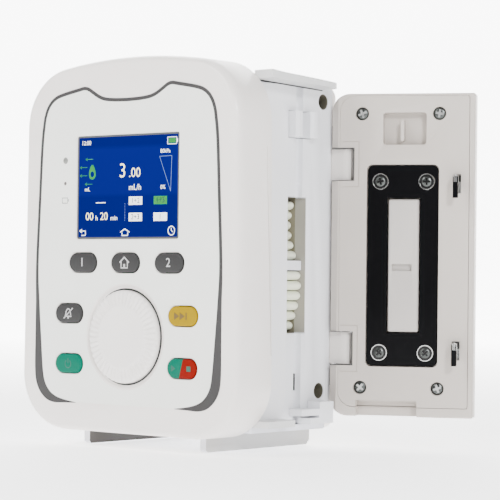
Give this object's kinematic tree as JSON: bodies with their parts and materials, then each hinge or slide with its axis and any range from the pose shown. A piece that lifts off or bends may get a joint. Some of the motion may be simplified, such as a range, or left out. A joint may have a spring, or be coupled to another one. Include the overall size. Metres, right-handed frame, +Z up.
{
  "type": "infusion pump",
  "caption": "Bench or pole-mounted infusion pump with display, keys and dial on the front, a row of peristaltic fingers in its side and a hinged side door that presses the tube against them.",
  "frame": {"origin": "bottom centre of the bounding box with the door open at rest", "axes": "+Z up, +Y from the front panel towards the back, +X to the right seen from the front"},
  "size_m": [0.1684, 0.1146, 0.1623],
  "materials": {
    "white_shell": "satin",
    "door_grey": "satin",
    "mech_white": "satin",
    "dial_white": "satin",
    "key_grey": "matte",
    "key_yellow": "satin",
    "key_green": "satin",
    "key_red": "satin",
    "screen_glass": "gloss",
    "black_gloss": "gloss",
    "black_plastic": "matte",
    "steel": "satin",
    "aluminium": "satin",
    "board_green": "satin",
    "rubber": "matte",
    "battery_blue": "satin"
  },
  "bodies": {
    "housing": {"air_sensor": "black_plastic", "battery_pack": "battery_blue", "bottom_ledge": "white_shell", "clamp_bracket": "mech_white", "display_module": "black_plastic", "display_window": "screen_glass", "drive_belt": "rubber", "drive_motor": "steel", "front_bezel": "white_shell", "hinge_lug_lower": "white_shell", "hinge_lug_upper": "white_shell", "hinge_pin_lower": "steel", "hinge_pin_upper": "steel", "left_foot_rail": "white_shell", "lower_tube_guide": "mech_white", "main_board": "board_green", "mechanism_chassis": "aluminium", "mechanism_panel": "mech_white", "mid_housing": "white_shell", "power_inlet": "black_plastic", "rear_cover": "white_shell", "right_foot_rail": "white_shell", "rotary_encoder": "aluminium", "top_cap": "white_shell", "upper_tube_clip": "mech_white"},
    "dial": {"dial_knob": "dial_white"},
    "camshaft": {"camshaft": "steel", "cam_pulley": "aluminium"},
    "motor_rotor": {"motor_pulley": "aluminium"},
    "plunger": {"pressure_plunger": "mech_white"},
    "door": {"door_outer_shell": "door_grey", "door_inner_panel": "door_grey", "backing_plate": "black_gloss"},
    "platen": {"pressure_platen": "mech_white"},
    "latch_handle": {"latch_handle": "door_grey"},
    "latch_bar": {"latch_bar": "steel", "latch_hook_upper": "steel", "latch_hook_lower": "steel"},
    "clamp_jaw": {"clamp_jaw": "rubber"},
    "clamp_screw": {"clamp_screw": "black_plastic"},
    "key_f1": {"key_f1": "key_grey"},
    "key_home": {"key_home": "key_grey"},
    "key_f2": {"key_f2": "key_grey"},
    "key_mute": {"key_mute": "key_grey"},
    "key_bolus": {"key_bolus": "key_yellow"},
    "key_power": {"key_power": "key_green"},
    "key_start_stop": {"key_start_stop": "key_red"},
    "finger_01": {"finger_01": "mech_white"},
    "finger_02": {"finger_02": "mech_white"},
    "finger_03": {"finger_03": "mech_white"},
    "finger_04": {"finger_04": "mech_white"},
    "finger_05": {"finger_05": "mech_white"},
    "finger_06": {"finger_06": "mech_white"},
    "finger_07": {"finger_07": "mech_white"},
    "finger_08": {"finger_08": "mech_white"},
    "finger_09": {"finger_09": "mech_white"},
    "finger_10": {"finger_10": "mech_white"},
    "finger_11": {"finger_11": "mech_white"},
    "finger_12": {"finger_12": "mech_white"}
  },
  "joints": [
    {"name": "door_hinge", "type": "hinge", "parent": "housing", "child": "door", "pos_m": [0.03374, 0.0212, 0.0765], "axis": [0, 0, 1], "range_deg": [-118.3, 11.7]},
    {"name": "dial_spin", "type": "hinge", "parent": "housing", "child": "dial", "pos_m": [-0.02256, -0.0537, 0.0463], "axis": [0, 1, 0], "continuous": true},
    {"name": "camshaft_spin", "type": "hinge", "parent": "housing", "child": "camshaft", "pos_m": [0.00144, -0.0043, 0.0765], "axis": [0, 0, 1], "continuous": true},
    {"name": "motor_spin", "type": "hinge", "parent": "housing", "child": "motor_rotor", "pos_m": [-0.02456, -0.0043, 0.114], "axis": [0, 0, 1], "continuous": true},
    {"name": "plunger_slide", "type": "slide", "parent": "housing", "child": "plunger", "axis": [1, 0, 0], "range_m": [-0.002, 0.0005], "stiffness_N_per_m": 60},
    {"name": "platen_press", "type": "slide", "parent": "door", "child": "platen", "axis": [-0.4741, 0.8805, 0], "range_m": [0, 0.001], "stiffness_N_per_m": 500},
    {"name": "latch_turn", "type": "hinge", "parent": "door", "child": "latch_handle", "pos_m": [0.07397, 0.04593, 0.075], "axis": [-0.4741, 0.8805, 0], "range_deg": [0, 50]},
    {"name": "latch_slide", "type": "slide", "parent": "door", "child": "latch_bar", "axis": [0, 0, 1], "range_m": [-0.004, 0]},
    {"name": "clamp_jaw_slide", "type": "slide", "parent": "housing", "child": "clamp_jaw", "axis": [1, 0, 0], "range_m": [-0.0121, 0.0101]},
    {"name": "clamp_screw_turn", "type": "hinge", "parent": "clamp_jaw", "child": "clamp_screw", "pos_m": [-0.07456, 0.0438, 0.084], "axis": [1, 0, 0], "range_deg": [-1080, 900]},
    {"name": "key_f1_press", "type": "slide", "parent": "housing", "child": "key_f1", "axis": [0, 1, 0], "range_m": [0, 0.0008], "stiffness_N_per_m": 300},
    {"name": "key_home_press", "type": "slide", "parent": "housing", "child": "key_home", "axis": [0, 1, 0], "range_m": [0, 0.0008], "stiffness_N_per_m": 300},
    {"name": "key_f2_press", "type": "slide", "parent": "housing", "child": "key_f2", "axis": [0, 1, 0], "range_m": [0, 0.0008], "stiffness_N_per_m": 300},
    {"name": "key_mute_press", "type": "slide", "parent": "housing", "child": "key_mute", "axis": [0, 1, 0], "range_m": [0, 0.0008], "stiffness_N_per_m": 300},
    {"name": "key_bolus_press", "type": "slide", "parent": "housing", "child": "key_bolus", "axis": [0, 1, 0], "range_m": [0, 0.0008], "stiffness_N_per_m": 300},
    {"name": "key_power_press", "type": "slide", "parent": "housing", "child": "key_power", "axis": [0, 1, 0], "range_m": [0, 0.0008], "stiffness_N_per_m": 300},
    {"name": "key_start_stop_press", "type": "slide", "parent": "housing", "child": "key_start_stop", "axis": [0, 1, 0], "range_m": [0, 0.0008], "stiffness_N_per_m": 300},
    {"name": "finger_01_slide", "type": "slide", "parent": "housing", "child": "finger_01", "axis": [1, 0, 0], "range_m": [-0.00145, 0.00435], "stiffness_N_per_m": 20},
    {"name": "finger_02_slide", "type": "slide", "parent": "housing", "child": "finger_02", "axis": [1, 0, 0], "range_m": [-0.0029, 0.0029], "stiffness_N_per_m": 20},
    {"name": "finger_03_slide", "type": "slide", "parent": "housing", "child": "finger_03", "axis": [1, 0, 0], "range_m": [-0.00435, 0.00145], "stiffness_N_per_m": 20},
    {"name": "finger_04_slide", "type": "slide", "parent": "housing", "child": "finger_04", "axis": [1, 0, 0], "range_m": [-0.00541, 0.00039], "stiffness_N_per_m": 20},
    {"name": "finger_05_slide", "type": "slide", "parent": "housing", "child": "finger_05", "axis": [1, 0, 0], "range_m": [-0.0058, 0], "stiffness_N_per_m": 20},
    {"name": "finger_06_slide", "type": "slide", "parent": "housing", "child": "finger_06", "axis": [1, 0, 0], "range_m": [-0.00541, 0.00039], "stiffness_N_per_m": 20},
    {"name": "finger_07_slide", "type": "slide", "parent": "housing", "child": "finger_07", "axis": [1, 0, 0], "range_m": [-0.0029, 0.0029], "stiffness_N_per_m": 20},
    {"name": "finger_08_slide", "type": "slide", "parent": "housing", "child": "finger_08", "axis": [1, 0, 0], "range_m": [-0.00145, 0.00435], "stiffness_N_per_m": 20},
    {"name": "finger_09_slide", "type": "slide", "parent": "housing", "child": "finger_09", "axis": [1, 0, 0], "range_m": [-0.00039, 0.00541], "stiffness_N_per_m": 20},
    {"name": "finger_10_slide", "type": "slide", "parent": "housing", "child": "finger_10", "axis": [1, 0, 0], "range_m": [0, 0.0058], "stiffness_N_per_m": 20},
    {"name": "finger_11_slide", "type": "slide", "parent": "housing", "child": "finger_11", "axis": [1, 0, 0], "range_m": [-0.00039, 0.00541], "stiffness_N_per_m": 20},
    {"name": "finger_12_slide", "type": "slide", "parent": "housing", "child": "finger_12", "axis": [1, 0, 0], "range_m": [-0.00145, 0.00435], "stiffness_N_per_m": 20}
  ],
  "couplings": [
    {"joint": "motor_spin", "follows": "camshaft_spin", "ratio": 2},
    {"joint": "latch_slide", "follows": "latch_turn", "m_per_rad": -0.0045837},
    {"joint": "clamp_jaw_slide", "follows": "clamp_screw_turn", "m_per_rad": 0.00063662}
  ]
}
